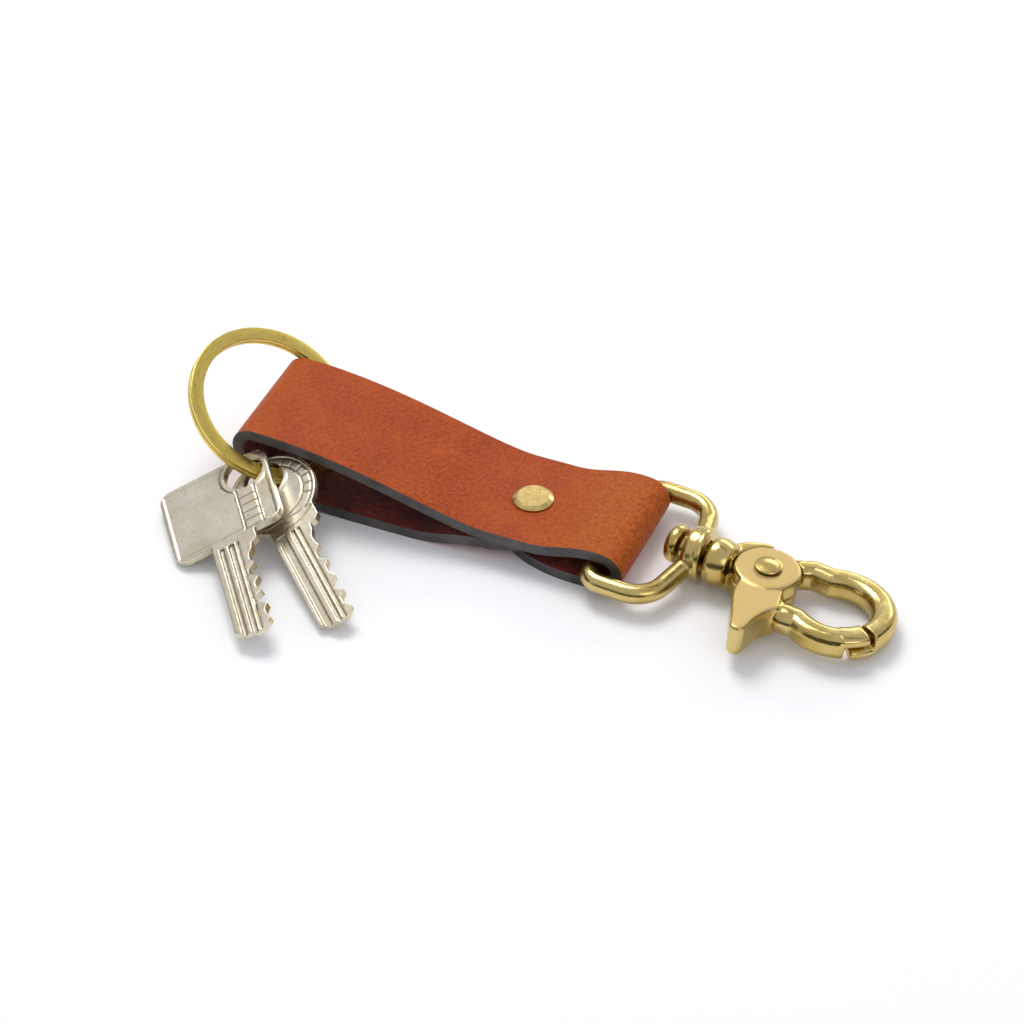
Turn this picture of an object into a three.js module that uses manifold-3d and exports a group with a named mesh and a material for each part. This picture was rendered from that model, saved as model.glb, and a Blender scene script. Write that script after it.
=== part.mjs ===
// A leather key fob: a folded strap riveted round the swivel loop of a trigger snap hook,
// with a flat-wire split ring and two keys on its other end.
// Units are millimetres. X runs along the strap towards the hook, Y across it, Z up.

import * as THREE from 'three';
import { mergeVertices } from 'three/addons/utils/BufferGeometryUtils.js';
import Module from 'manifold-3d';

const wasm = await Module();
wasm.setup();

// ---- Driving dimensions ----

const restGap = 0.1; // between pieces that sit still against each other
const runGap = 0.3; // between pieces that turn or slide past each other

const strapWidth = 25;
const leather = 2.2;
const layerGap = 0.12;
const tongueLength = 20;
const topLayerLength = 55; // from the rivet to the turn at the key end
const noseBore = 2.15; // radius inside the key-end turn
const noseLift = 9.2; // middle of the key-end turn above the lower layer

const rivetHeadRadius = 4;
const rivetPostRadius = 1.3;
const rivetHeadHeight = 0.8;

const wireRadius = 2;
const legGap = 0.7; // between the strap's edges and the loop's legs
const loopLeg = 14;
const loopBow = 2.4; // how far the boss stands ahead of the front corners
const loopLift = 1.5; // boss axis above the plane of the wire
const bossRadius = 5.4;
const bossFlange = 0.1; // how far the boss stands proud of the wire on each side
const studRadius = 2.1;
const swivelPlay = 0.8; // radial play of the stud in the boss

const discRadius = 6.5;
const discTop = 3.6; // trigger's flat top above the hook's middle plane
const hookReach = 26.6; // pivot to the tip of the eye
const eyeHalfWidth = 11.4;
const armWidth = 5.1;
const armHeight = 5.6;
const collarRadius = 4.8;
const pinRadius = 1.5;
const pinHeadRadius = 2.7;
const springWire = 0.6;

const ringGrowth = 0.95; // how much the wire circle's radius grows with the strap's width
const ringInset = 8.2; // what that growth takes off, since the ring leans across the strap
const ringWireWidth = 2.7;
const coilThickness = 1;
const coilGap = 0.12;

const keyThickness = 1.8;
const bladeWidth = 8;

const rivetPlace = -0.9;
const degrees = Math.PI / 180;

// What fits round the strap and the wire.
const noseRadius = noseBore + leather / 2;
const noseHeight = leather + noseLift;
const loopWidth = strapWidth + 2 * (wireRadius + legGap);
const bossLength = 2 * (wireRadius + bossFlange);

// Middle heights of the three layers of leather that the rivet joins.
const layerStep = leather + layerGap;
const layers = [0, 1, 2].map((n) => leather / 2 + n * layerStep);
const stackTop = layers[2] + leather / 2;

// ---- Solids ----

function signedVolume(geometry) {
  const p = geometry.getAttribute('position');
  const index = geometry.index.array;
  const a = new THREE.Vector3();
  const b = new THREE.Vector3();
  const c = new THREE.Vector3();
  let sum = 0;
  for (let i = 0; i < index.length; i += 3) {
    a.fromBufferAttribute(p, index[i]);
    b.fromBufferAttribute(p, index[i + 1]);
    c.fromBufferAttribute(p, index[i + 2]);
    sum += a.dot(b.cross(c)) / 6;
  }
  return sum;
}

// Joins equal sections, each a ring of points, into one closed solid.
function skin(sections, closed = false) {
  const n = sections[0].length;
  const count = sections.length;
  const points = sections.flat();
  const index = [];
  const spans = closed ? count : count - 1;
  for (let s = 0; s < spans; s += 1) {
    const here = s * n;
    const next = ((s + 1) % count) * n;
    for (let i = 0; i < n; i += 1) {
      const j = (i + 1) % n;
      index.push(here + i, next + i, next + j, here + i, next + j, here + j);
    }
  }
  if (!closed) {
    const last = (count - 1) * n;
    for (let i = 1; i < n - 1; i += 1) {
      index.push(0, i, i + 1, last, last + i + 1, last + i);
    }
  }
  const geometry = new THREE.BufferGeometry().setFromPoints(points);
  geometry.setIndex(index);
  if (signedVolume(geometry) < 0) geometry.setIndex(index.reverse());
  return geometry;
}

function toSolid(geometry) {
  const bare = geometry.clone();
  bare.deleteAttribute('normal');
  bare.deleteAttribute('uv');
  const merged = mergeVertices(bare, 1e-4);
  return new wasm.Manifold(new wasm.Mesh({
    numProp: 3,
    vertProperties: new Float32Array(merged.getAttribute('position').array),
    triVerts: new Uint32Array(merged.index.array),
  }));
}

function toGeometry(solid) {
  const mesh = solid.getMesh();
  const geometry = new THREE.BufferGeometry();
  geometry.setAttribute('position', new THREE.BufferAttribute(mesh.vertProperties, 3));
  geometry.setIndex(new THREE.BufferAttribute(mesh.triVerts, 1));
  return geometry;
}

// Adds every geometry in plus, then takes away every geometry in minus.
function carve(plus, minus = []) {
  let solid = toSolid(plus[0]);
  for (const more of plus.slice(1)) solid = solid.add(toSolid(more));
  for (const less of minus) solid = solid.subtract(toSolid(less));
  return toGeometry(solid);
}

// A cylinder standing along Z between two heights.
function post(radius, low, high, sides = 40) {
  const geometry = new THREE.CylinderGeometry(radius, radius, high - low, sides);
  return geometry.rotateX(Math.PI / 2).translate(0, 0, (low + high) / 2);
}

// A turned piece: outline points are [radius, height] from axis to axis, and it stands along Z.
function turned(outline, sides = 48) {
  const points = outline.map(([r, z]) => new THREE.Vector2(r, z));
  return new THREE.LatheGeometry(points, sides).rotateX(Math.PI / 2);
}

// A flat plate of the shape's outline between two heights, with edges rounded by the bevel.
function plate(shape, low, high, bevel = 0, curveSegments = 24) {
  const geometry = new THREE.ExtrudeGeometry(shape, {
    depth: high - low - 2 * bevel,
    bevelEnabled: bevel > 0,
    bevelThickness: bevel,
    bevelSize: bevel,
    bevelOffset: -bevel,
    bevelSegments: 3,
    curveSegments,
  });
  return geometry.translate(0, 0, low + bevel);
}

function finish(name, geometry, colour, roughness, metalness) {
  const material = new THREE.MeshStandardMaterial({ color: colour, roughness, metalness });
  const mesh = new THREE.Mesh(geometry, material);
  mesh.name = name;
  return mesh;
}

// ---- Strap ----

const barHeight = leather + runGap + wireRadius;
const foldRadius = runGap + wireRadius + leather / 2;
const foldCentre = 18;
const tongueTip = rivetPlace - 6.1;
const innerTip = rivetPlace + 10.4;
const noseCentre = rivetPlace - topLayerLength + 1.5;

// The strap's middle line, from the tongue under the rivet round the loop's bar, back over the
// rivet, round the key end and back between the other two layers.
function strapLine() {
  const v = (x, z) => new THREE.Vector2(x, z);
  const path = new THREE.CurvePath();
  const noseTop = noseHeight + noseRadius;
  const turn = 20 * degrees;
  const leave = v(
    noseCentre - noseRadius * Math.cos(turn),
    noseHeight - noseRadius * Math.sin(turn),
  );
  const floor = layers[0] + 0.03;
  const clamped = rivetHeadRadius + 0.2;
  path.add(new THREE.LineCurve(v(tongueTip, layers[0]), v(foldCentre, layers[0])));
  path.add(new THREE.EllipseCurve(
    foldCentre, layers[0] + foldRadius, foldRadius, foldRadius, -Math.PI / 2, Math.PI / 2,
  ));
  path.add(new THREE.CubicBezierCurve(
    v(foldCentre, layers[0] + 2 * foldRadius),
    v(foldCentre - 5.5, layers[0] + 2 * foldRadius + 0.7),
    v(rivetPlace + 9.5, layers[2]),
    v(rivetPlace + clamped, layers[2]),
  ));
  path.add(new THREE.LineCurve(
    v(rivetPlace + clamped, layers[2]),
    v(rivetPlace - clamped, layers[2]),
  ));
  path.add(new THREE.CubicBezierCurve(
    v(rivetPlace - clamped, layers[2]),
    v(rivetPlace - clamped - 10, layers[2] + 0.15),
    v(noseCentre + 21.4, noseTop - 0.35),
    v(noseCentre, noseTop),
  ));
  path.add(new THREE.EllipseCurve(
    noseCentre, noseHeight, noseRadius, noseRadius, Math.PI / 2, Math.PI + turn,
  ));
  path.add(new THREE.CubicBezierCurve(
    leave,
    v(leave.x + 2.2 * Math.sin(turn) * 2, leave.y - 5.2 * Math.cos(turn)),
    v(noseCentre + 2, floor + 1.1),
    v(noseCentre + 9, floor + 0.55),
  ));
  path.add(new THREE.CubicBezierCurve(
    v(noseCentre + 9, floor + 0.55),
    v(noseCentre + 14, floor + 0.16),
    v(noseCentre + 19, floor),
    v(noseCentre + 25, floor),
  ));
  path.add(new THREE.LineCurve(v(noseCentre + 25, floor), v(tongueTip - 15, floor)));
  path.add(new THREE.CubicBezierCurve(
    v(tongueTip - 15, floor),
    v(tongueTip - 8, floor),
    v(tongueTip - 5, layers[1]),
    v(tongueTip - 0.4, layers[1]),
  ));
  path.add(new THREE.LineCurve(v(tongueTip - 0.4, layers[1]), v(innerTip, layers[1])));
  return path;
}

// Distances along the strap where its sections stand, closer together in the round tongues.
function strapStations(length) {
  const near = [0, 0.08, 0.3, 0.7, 1.3, 2.1, 3.2, 4.6, 6.3, 8.3, 10.6, 13.2, 16.2];
  const stations = [...near];
  const spare = length - 2 * tongueLength;
  const steps = Math.ceil(spare / 1.1);
  for (let i = 0; i <= steps; i += 1) stations.push(tongueLength + (spare * i) / steps);
  for (const d of near.toReversed()) stations.push(length - d);
  return stations;
}

function halfWidthAt(distance, length) {
  const fromEnd = Math.min(distance, length - distance);
  const inTongue = Math.max(0, 1 - fromEnd / tongueLength);
  return Math.max(1.2, (strapWidth / 2) * Math.sqrt(1 - inTongue ** 2));
}

function leatherStrap() {
  const path = strapLine();
  const length = path.getLength();
  path.arcLengthDivisions = 2000;
  for (const curve of path.curves) curve.arcLengthDivisions = 600;
  const sections = strapStations(length).map((distance) => {
    const u = Math.min(1, distance / length);
    const at = path.getPointAt(u);
    const along = path.getTangentAt(u);
    const out = new THREE.Vector2(along.y, -along.x).multiplyScalar(leather / 2);
    const half = halfWidthAt(distance, length);
    return [[1, -half], [1, half], [-1, half], [-1, -half]].map(
      ([side, y]) => new THREE.Vector3(at.x + side * out.x, y, at.y + side * out.y),
    );
  });
  const hole = post(rivetPostRadius + restGap, -1, stackTop + 2);
  const seat = post(rivetHeadRadius + restGap, -1, rivetHeadHeight + restGap);
  hole.translate(rivetPlace, 0, 0);
  seat.translate(rivetPlace, 0, 0);
  return finish('leather_strap', carve([skin(sections)], [hole, seat]), 0xb9582c, 0.6, 0);
}

// ---- Rivet ----

function rivetPost() {
  const stem = stackTop + rivetHeadHeight / 2;
  const outline = [
    [0, 0],
    [rivetHeadRadius - 0.3, 0],
    [rivetHeadRadius, 0.25],
    [rivetHeadRadius, rivetHeadHeight],
    [rivetPostRadius, rivetHeadHeight],
    [rivetPostRadius, stem],
    [0, stem],
  ];
  const mesh = finish('rivet_post', turned(outline), 0xc9ae5e, 0.35, 1);
  mesh.position.set(rivetPlace, 0, 0);
  return mesh;
}

function rivetCap() {
  const inner = rivetPostRadius + restGap;
  const roof = rivetHeadHeight / 2 + restGap;
  const outline = [
    [inner, 0],
    [rivetHeadRadius - 0.1, 0],
    [rivetHeadRadius, 0.15],
    [rivetHeadRadius - 0.25, 0.45],
    [rivetHeadRadius * 0.77, rivetHeadHeight],
    [0, rivetHeadHeight],
    [0, roof],
    [inner, roof],
    [inner, 0],
  ];
  const mesh = finish('rivet_cap', turned(outline), 0xd2b76a, 0.25, 1);
  mesh.position.set(rivetPlace, 0, stackTop + restGap);
  return mesh;
}

// ---- Swivel loop ----

const bossPlace = loopLeg + loopBow;

// The wire's middle line, anticlockwise from the near end of the bar.
function loopLine() {
  const half = loopWidth / 2;
  const barCorner = 3;
  const frontCorner = 6;
  const v = (x, y) => new THREE.Vector2(x, y);
  const slope = Math.atan2(loopBow, half - frontCorner);
  const line = [];
  for (let i = 0; i <= 6; i += 1) {
    const a = Math.PI + (i / 6) * (Math.PI / 2);
    const x = barCorner + barCorner * Math.cos(a);
    line.push(v(x, -half + barCorner + barCorner * Math.sin(a)));
  }
  for (let i = 0; i <= 10; i += 1) {
    const a = -Math.PI / 2 + (i / 10) * (Math.PI / 2 - slope);
    const x = loopLeg - frontCorner + frontCorner * Math.cos(a);
    line.push(v(x, -half + frontCorner + frontCorner * Math.sin(a)));
  }
  line.push(v(bossPlace, -1));
  const mirrored = line.toReversed().map((p) => v(p.x, -p.y));
  return [...line, ...mirrored];
}

function swivelLoop() {
  const line = loopLine();
  const sides = 16;
  const sections = line.map((p, i) => {
    const before = line[(i + line.length - 1) % line.length];
    const after = line[(i + 1) % line.length];
    const along = after.clone().sub(before).normalize();
    const bar = Math.abs(p.x) < 1e-6;
    const rise = loopLift * THREE.MathUtils.smoothstep(Math.abs(p.y), -4, 9);
    const lift = bar || p.x < loopLeg ? 0 : loopLift - rise;
    return Array.from({ length: sides }, (_, k) => {
      const a = (k / sides) * 2 * Math.PI;
      const reach = wireRadius * Math.cos(a);
      return new THREE.Vector3(
        p.x + along.y * reach, p.y - along.x * reach, lift + wireRadius * Math.sin(a),
      );
    });
  });
  const half = bossLength / 2;
  const rim = 0.9;
  const outline = [
    [0, -half],
    [bossRadius - 1.4, -half],
    [bossRadius - 0.4, -half + rim],
    [bossRadius - 0.2, half - 1.3],
    [bossRadius, half - 1.1],
    [bossRadius, half - 0.3],
    [bossRadius - 0.3, half],
    [0, half],
  ];
  const place = (geometry) => geometry.rotateY(Math.PI / 2).translate(bossPlace, 0, loopLift);
  const boss = place(turned(outline, 40));
  const bore = place(post(studRadius + swivelPlay, -bossLength, bossLength, 32));
  const geometry = carve([skin(sections, true), boss], [bore]);
  return finish('swivel_loop', geometry, 0xc9ae5e, 0.22, 1);
}

// ---- Trigger hook: the pivot is at the origin, the eye lies along +X, the trigger on -Y ----

const plateTop = -0.3;
const discLow = plateTop + runGap;
const bossFromPivot = -14.7;
const eyeCentre = hookReach - 11.4;
const eyeHalfLength = hookReach - eyeCentre;
const seamAngle = -24 * degrees;
const lapAngle = -50 * degrees;
const lapPlay = 5.5 * degrees; // open seam at each end of the lap

// A point on the eye's outer outline, or on its inner one when inset by the arm's width.
function onEye(angle, inset = 0) {
  return new THREE.Vector2(
    eyeCentre + (eyeHalfLength - inset) * Math.cos(angle),
    (eyeHalfWidth - inset) * Math.sin(angle),
  );
}

// A cast bar along a line in the hook's plane, with the same rounded section all the way.
function castBar(line, low, high, width = armWidth) {
  const middle = (low + high) / 2;
  const soft = (value) => Math.sign(value) * Math.abs(value) ** 0.75;
  const sections = line.map((p, i) => {
    const before = line[Math.max(0, i - 1)];
    const after = line[Math.min(line.length - 1, i + 1)];
    const along = after.clone().sub(before).normalize();
    return Array.from({ length: 12 }, (_, k) => {
      const a = ((k + 0.5) / 12) * 2 * Math.PI;
      const reach = (width / 2) * soft(Math.cos(a));
      const height = middle + ((high - low) / 2) * soft(Math.sin(a));
      return new THREE.Vector3(p.x + along.y * reach, p.y - along.x * reach, height);
    });
  });
  return skin(sections);
}

// The middle of the eye's arm between two angles, then on through the points of its root.
function eyeLine(from, to, root = []) {
  const steps = Math.ceil(Math.abs(to - from) / (7.5 * degrees));
  const line = [];
  for (let i = 0; i <= steps; i += 1) {
    line.push(onEye(from + ((to - from) * i) / steps, armWidth / 2));
  }
  return [...line, ...root.map(([x, y]) => new THREE.Vector2(x, y))];
}

function swivelStud() {
  const back = bossFromPivot - bossLength / 2;
  const headLow = back - 1.2;
  const headTop = headLow - 3.2;
  const headRadius = studRadius + 1.75;
  const collarBack = bossFromPivot + bossLength / 2 + 0.7;
  const outline = [
    [0, headTop],
    [headRadius * 0.55, headTop + 0.25],
    [headRadius * 0.9, headTop + 0.9],
    [headRadius, headTop + 1.7],
    [headRadius, headLow - 0.5],
    [headRadius - 0.4, headLow],
    [studRadius, headLow],
    [studRadius, collarBack],
    [collarRadius - 0.7, collarBack],
    [collarRadius - 0.1, collarBack + 0.7],
    [collarRadius, collarBack + 2],
    [collarRadius - 0.3, collarBack + 3.4],
    [collarRadius - 0.9, collarBack + 4.6],
    [0, collarBack + 4.6],
  ];
  return turned(outline, 40).rotateY(Math.PI / 2);
}

function hookBody() {
  const arm = eyeLine(seamAngle, 122 * degrees, [[6.4, 7.4], [3.8, 5.6], [1.6, 3.2]]);
  const lap = eyeLine(lapAngle, seamAngle + 4 * degrees);
  const neck = new THREE.Shape();
  neck.moveTo(-8.6, -2.6);
  neck.lineTo(-6.6, -2.6);
  neck.lineTo(-4.6, -4.2);
  neck.lineTo(0, -5);
  neck.lineTo(0, 5.9);
  neck.lineTo(-4.5, 5.4);
  neck.lineTo(-8.6, 3.9);
  neck.closePath();
  const cheek = new THREE.Shape();
  cheek.moveTo(-8.6, -1.4);
  cheek.lineTo(-8.6, 3.9);
  cheek.quadraticCurveTo(-6.8, 7, -2.4, 7.7);
  cheek.lineTo(-2, 5);
  cheek.lineTo(-6, -1.4);
  cheek.closePath();
  const low = -armHeight / 2;
  const bottom = -3.7;
  const geometry = carve(
    [
      swivelStud(),
      plate(neck, bottom, plateTop),
      plate(cheek, bottom + 0.4, discTop - 0.6, 0.5, 10),
      post(discRadius - 0.4, bottom, plateTop),
      castBar(arm, low, armHeight / 2),
      castBar(lap, low + 0.2, -runGap / 2),
    ],
    [
      post(discRadius + runGap, plateTop, 9, 64),
      post(pinRadius + restGap, -9, 9),
      post(pinHeadRadius + restGap, -9, bottom + 0.5),
    ],
  );
  return finish('hook_body', geometry, 0xc9ae5e, 0.22, 1);
}

function tabShape() {
  const shape = new THREE.Shape();
  shape.moveTo(-3, -5.4);
  shape.bezierCurveTo(-3, -10.5, -0.4, -13, 1.8, -18.6);
  shape.bezierCurveTo(2.1, -19.7, 4.7, -19.9, 4.8, -18);
  shape.bezierCurveTo(4.9, -14.6, 5.2, -11.4, 7.2, -9.4);
  shape.lineTo(4.8, -2);
  shape.closePath();
  return shape;
}

function triggerLever() {
  const half = armHeight / 2;
  const root = [[6.2, -7.4], [3.6, -5.2], [1.6, -3]];
  const jaw = eyeLine(lapAngle - lapPlay, -122 * degrees, root);
  const lap = eyeLine(seamAngle - lapPlay, lapAngle - lapPlay - 5 * degrees);
  const geometry = carve(
    [
      plate(new THREE.Shape().absarc(0, 0, discRadius, 0, 2 * Math.PI), discLow, discTop, 0.7, 28),
      plate(tabShape(), -3.3, discTop - 0.3, 0.6, 12),
      castBar(jaw, -half, half),
      castBar(lap, runGap / 2, half),
    ],
    [
      post(discRadius + runGap, -9, discLow, 64),
      post(pinRadius + runGap, -9, 9),
      post(pinHeadRadius + 1.6, -9, discLow + springWire + 2 * runGap),
    ],
  );
  return finish('trigger_lever', geometry, 0xcdb481, 0.28, 1);
}

function pivotPin() {
  const headHeight = 0.8;
  const head = discTop + runGap;
  const foot = -3.7;
  const outline = [
    [0, foot - 0.1],
    [pinHeadRadius, foot - 0.1],
    [pinHeadRadius, foot + 0.4],
    [pinRadius, foot + 0.4],
    [pinRadius, head],
    [pinHeadRadius, head],
    [pinHeadRadius, head + 0.35],
    [pinHeadRadius - 0.5, head + 0.6],
    [0, head + headHeight],
  ];
  return finish('pivot_pin', turned(outline, 32), 0xd2b76a, 0.2, 1);
}

// A flat coil of one and a half turns round the pin, in the recess under the trigger's disc.
function triggerSpring() {
  const radius = pinHeadRadius + 0.7;
  const middle = discLow + springWire / 2 + runGap;
  const points = [];
  const turns = 0.86;
  for (let i = 0; i <= 40; i += 1) {
    const a = (i / 40) * turns * 2 * Math.PI;
    points.push(new THREE.Vector3(radius * Math.cos(a), radius * Math.sin(a), middle));
  }
  const sections = points.map((p) => {
    const out = new THREE.Vector3(p.x, p.y, 0).normalize();
    return Array.from({ length: 8 }, (_, k) => {
      const a = (k / 8) * 2 * Math.PI;
      const section = out.clone().multiplyScalar((springWire / 2) * Math.cos(a));
      return p.clone().add(section).add(new THREE.Vector3(0, 0, (springWire / 2) * Math.sin(a)));
    });
  });
  return finish('trigger_spring', skin(sections), 0x8d8f92, 0.4, 1);
}

// ---- Split ring: flat wire wound twice, its own axis along Z ----

const coilPitch = coilThickness + coilGap;

const wireCircle = ringGrowth * strapWidth - ringInset;

function splitRing() {
  const ramp = 0.42;
  const perTurn = 48;
  const end = 4 * Math.PI - ramp - 0.06;
  const steps = Math.round((end / (2 * Math.PI)) * perTurn);
  const sections = [];
  for (let i = 0; i <= steps; i += 1) {
    const a = (end * i) / steps;
    const climb = THREE.MathUtils.clamp((a - (2 * Math.PI - ramp)) / ramp, 0, 1);
    const z = coilPitch * (climb - 0.5);
    const half = ringWireWidth / 2;
    const flat = coilThickness / 2;
    const round = 0.22;
    const corners = [
      [half - round, flat], [half, flat - round], [half, round - flat], [half - round, -flat],
      [round - half, -flat], [-half, round - flat], [-half, flat - round], [round - half, flat],
    ];
    sections.push(corners.map(([r, h]) => new THREE.Vector3(
      (wireCircle + r) * Math.cos(a), (wireCircle + r) * Math.sin(a), z + h,
    )));
  }
  return finish('split_ring', skin(sections), 0xd4b545, 0.3, 1);
}

// ---- Keys: the hole is at the origin, the blade points along +X, the cuts are on +Y ----

// The blade's outline on its cut side, from the shoulder to the tip: each cut has its own depth.
function cutEdge(shape, start, tip, middle, depths) {
  const pitch = (tip - start - 3.4) / depths.length;
  const edge = middle + bladeWidth / 2;
  shape.lineTo(start, edge);
  depths.forEach((depth, i) => {
    const at = start + 1.4 + pitch * (i + 0.5);
    const flat = pitch * 0.16;
    shape.lineTo(at - pitch / 2 + 0.1, edge - depth * 0.25);
    shape.lineTo(at - flat, edge - depth);
    shape.lineTo(at + flat, edge - depth);
  });
  shape.lineTo(tip - 1.9, edge - 0.5);
}

function bladeTip(shape, tip, middle) {
  const half = bladeWidth / 2;
  shape.lineTo(tip - 0.2, middle + half * 0.42);
  shape.lineTo(tip, middle);
  shape.lineTo(tip - 0.5, middle - half * 0.55);
  shape.lineTo(tip - 1.9, middle - half);
}

// Long milled grooves: each is [offset across the blade, width, depth, side].
function grooves(start, tip, middle, list) {
  return list.map(([offset, width, depth, side]) => {
    const groove = new THREE.BoxGeometry(tip - start + 4, width, depth * 2);
    return groove.translate((start + tip) / 2 + 2, middle + offset, side * keyThickness / 2);
  });
}

// A wire of this section passes a hole in a plate of this thickness at a slant.
const keyHoleRadius = (ringWireWidth + coilPitch + coilThickness + keyThickness) / 2 + 0.74;

const squareKey = { holeFromTip: 41, holeAcross: 6.3, blade: 25.7, bowLength: 19.8, bowWidth: 23 };
const roundKey = { holeFromTip: 39.5, blade: 25.8, bowRadius: 9.2, bowFromTip: 35.2 };

function keySquare() {
  const key = squareKey;
  const tip = key.holeFromTip;
  const start = tip - key.blade;
  const middle = -key.holeAcross;
  const bowEnd = start - key.bowLength;
  const half = key.bowWidth / 2;
  const corner = 2.6;
  const bow = new THREE.Shape();
  bow.moveTo(bowEnd + corner, middle - half);
  bow.lineTo(start - corner, middle - half);
  bow.absarc(start - corner, middle - half + corner, corner, -Math.PI / 2, 0);
  bow.lineTo(start, middle + half - corner);
  bow.absarc(start - corner, middle + half - corner, corner, 0, Math.PI / 2);
  bow.lineTo(bowEnd + corner, middle + half);
  bow.absarc(bowEnd + corner, middle + half - corner, corner, Math.PI / 2, Math.PI);
  bow.lineTo(bowEnd, middle - half + corner);
  bow.absarc(bowEnd + corner, middle - half + corner, corner, Math.PI, 1.5 * Math.PI);
  const blade = new THREE.Shape();
  const wide = bladeWidth / 2 + 1.3;
  blade.moveTo(start - 2, middle - bladeWidth / 2);
  blade.lineTo(start - 2, middle + wide);
  blade.lineTo(start + 2.6, middle + wide);
  cutEdge(blade, start + 3.4, tip, middle, [1.2, 2.1, 1.5, 2.6, 1.1]);
  bladeTip(blade, tip, middle);
  blade.closePath();
  const top = keyThickness / 2;
  const geometry = carve(
    [plate(bow, -top, top, 0.25, 8), plate(blade, -top, top)],
    [
      post(keyHoleRadius, -3, 3, 32),
      ...grooves(start + 1.5, tip, middle, [
        [-2.1, 0.9, 0.45, 1], [-0.1, 1.1, 0.5, 1], [1.2, 0.6, 0.3, 1], [-0.9, 1.2, 0.5, -1],
      ]),
    ],
  );
  return finish('key_square', geometry, 0xcfc6b0, 0.35, 1);
}

function keyRound() {
  const key = roundKey;
  const tip = key.holeFromTip;
  const start = tip - key.blade;
  const centre = tip - key.bowFromTip;
  const bow = new THREE.Shape().absarc(centre, 0, key.bowRadius, 0, 2 * Math.PI);
  const blade = new THREE.Shape();
  const wide = bladeWidth / 2 + 2.2;
  blade.moveTo(start - 5, -bladeWidth / 2 - 1);
  blade.lineTo(start - 5, wide);
  blade.lineTo(start + 0.6, wide);
  blade.lineTo(start + 1.6, bladeWidth / 2 + 1.2);
  cutEdge(blade, start + 1.8, tip, 0, [0.9, 1.7, 1.3, 2.2, 1.6]);
  bladeTip(blade, tip, 0);
  blade.lineTo(start - 1, -bladeWidth / 2);
  blade.closePath();
  const top = keyThickness / 2;
  const geometry = carve(
    [plate(bow, -top, top, 0.25, 20), plate(blade, -top, top)],
    [
      post(keyHoleRadius, -3, 3, 32),
      ...grooves(start + 1, tip, 0, [
        [-2.2, 1.6, 0.6, 1], [0.2, 0.7, 0.35, 1], [1.4, 0.6, 0.3, 1], [0.6, 1.4, 0.5, -1],
      ]),
    ],
  );
  return finish('key_round', geometry, 0xd8d0be, 0.32, 1);
}

// ---- Assembly in the pose in which it lies ----

// A group turned by yaw about Z, then raised by pitch, then rolled about its own X.
function posed(x, y, z, yaw, pitch, roll) {
  const group = new THREE.Group();
  group.rotation.order = 'ZYX';
  group.rotation.set(roll * degrees, -pitch * degrees, yaw * degrees);
  group.position.set(x, y, z);
  return group;
}

const model = new THREE.Group();
model.add(leatherStrap(), rivetPost(), rivetCap());

const loop = posed(foldCentre - 1.1, 0, barHeight, -3.6, -1, 0);
loop.add(swivelLoop());
model.add(loop);
loop.updateMatrixWorld(true);

const bossCentre = loop.localToWorld(new THREE.Vector3(bossPlace, 0, loopLift));
const hook = posed(0, 0, 0, -8, -3.5, -5);
hook.updateMatrixWorld(true);
const pivotFromBoss = new THREE.Vector3(-bossFromPivot, 0, 0).applyMatrix4(hook.matrixWorld);
hook.position.copy(bossCentre).add(pivotFromBoss);
hook.add(hookBody(), triggerLever(), pivotPin(), triggerSpring());
model.add(hook);

// The ring's axis leans towards the hook. Its X axis points to the near side and its Y axis down
// into the strap.
const ringLean = 58.5 * degrees;
const ringTurn = -7.5 * degrees;
const ringAxis = new THREE.Vector3(
  Math.cos(ringLean) * Math.cos(ringTurn),
  Math.sin(ringTurn),
  Math.sin(ringLean) * Math.cos(ringTurn),
);
const ringNear = new THREE.Vector3(0, -1, 0).addScaledVector(ringAxis, ringAxis.y).normalize();
const ringDown = new THREE.Vector3().crossVectors(ringAxis, ringNear);
const ring = new THREE.Group();
ring.quaternion.setFromRotationMatrix(
  new THREE.Matrix4().makeBasis(ringNear, ringDown, ringAxis),
);
ring.position.set(noseCentre + 11.28, -0.62, noseHeight - 6.64);
ring.position.addScaledVector(ringDown, -wireCircle);
const coil = splitRing();
coil.rotation.z = 150 * degrees;
ring.add(coil);
model.add(ring);
ring.updateMatrixWorld(true);

// A key hangs on the ring's wire at an angle round the ring. The wire touches the hole's rim, so
// the middle of the hole lies off the wire's middle by the two last values.
function hung(key, degreesRound, [yaw, pitch, roll], [along, across]) {
  const angle = degreesRound * degrees;
  const wire = new THREE.Vector3(
    wireCircle * Math.cos(angle), wireCircle * Math.sin(angle), 0,
  ).applyMatrix4(ring.matrixWorld);
  const group = posed(wire.x, wire.y, wire.z, yaw, pitch, roll);
  key.position.set(along, across, 0);
  group.add(key);
  return group;
}

model.add(
  hung(keySquare(), 14.2, [-52.8, -2.8, 24.6], [1.38, -0.87]),
  hung(keyRound(), 27.96, [-43.18, -6.62, 25.6], [1.63, -0.69]),
);

// The origin is under the middle of the whole, on the surface that it lies on.
model.updateMatrixWorld(true);
const box = new THREE.Box3().setFromObject(model, true);
const middle = box.getCenter(new THREE.Vector3());
model.position.set(-middle.x, -middle.y, -box.min.z);
model.updateMatrixWorld(true);

export default model;
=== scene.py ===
# Looks for a leather key fob: strap, rivet, swivel loop, trigger hook, split ring and two keys.
# Lengths are in metres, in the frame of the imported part: X along the strap, Z up.

import math

import bpy
import numpy as np
from mathutils import Euler, Matrix, Vector


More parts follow.
